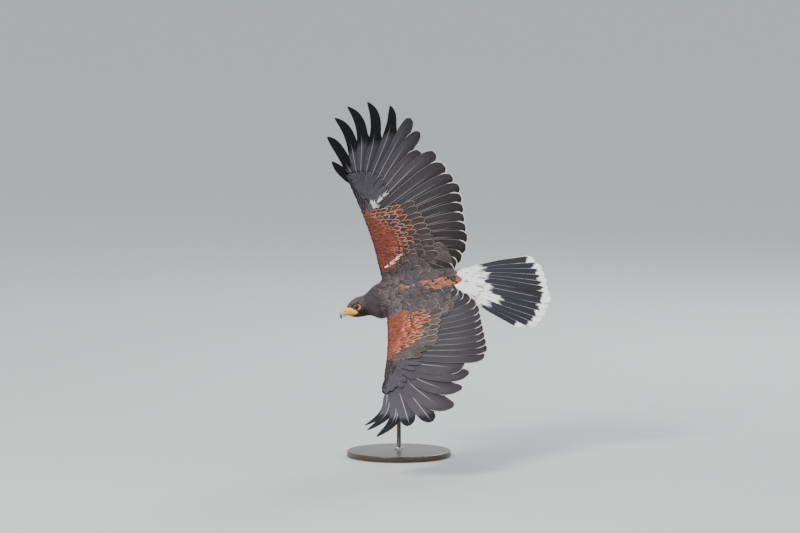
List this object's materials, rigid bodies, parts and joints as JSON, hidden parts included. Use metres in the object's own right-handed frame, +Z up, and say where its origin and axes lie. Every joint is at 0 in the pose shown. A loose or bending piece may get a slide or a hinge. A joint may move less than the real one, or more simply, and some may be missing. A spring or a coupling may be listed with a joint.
{
  "type": "harris hawk model",
  "caption": "Life-size harris hawk banking in flight with wings and tail spread, held up by a slim rod on a round display base.",
  "frame": {"origin": "on the floor, on the axis of the rod, in the underside of the round base", "axes": "+Z up; the bird flies towards -X, banked over with its back towards -Y and its right wing up"},
  "size_m": [0.534, 0.5804, 0.8741],
  "materials": {
    "plumage_dark": "dark grey-brown feathers",
    "plumage_black": "blackish feathers",
    "plumage_rufous": "chestnut feathers",
    "plumage_white": "white feathers",
    "cere": "soft yellow skin",
    "horn": "pale blue-grey horn with a dark tip",
    "claw": "polished black horn",
    "eye": "wet dark brown",
    "leg": "yellow scaled skin",
    "wood": "dark satin",
    "steel": "satin"
  },
  "bodies": {
    "root": {"wing_right_arm": "plumage_rufous", "wing_right_hand": "plumage_dark", "wing_right_primaries": "plumage_black", "wing_right_secondaries": "plumage_dark", "wing_left_arm": "plumage_rufous", "wing_left_hand": "plumage_dark", "wing_left_primaries": "plumage_black", "wing_left_secondaries": "plumage_dark", "eye_right": "eye", "thigh_right": "plumage_rufous", "foot_right": "leg", "claw_right_1": "claw", "claw_right_2": "claw", "claw_right_3": "claw", "claw_right_4": "claw", "eye_left": "eye", "thigh_left": "plumage_rufous", "foot_left": "leg", "claw_left_1": "claw", "claw_left_2": "claw", "claw_left_3": "claw", "claw_left_4": "claw", "head": "plumage_dark", "cere": "cere", "bill_upper": "horn", "bill_lower": "horn", "neck": "plumage_dark", "torso": "plumage_dark", "rump": "plumage_white", "tail": "plumage_black", "stand_base": "wood", "stand_rod": "steel"}
  },
  "joints": []
}
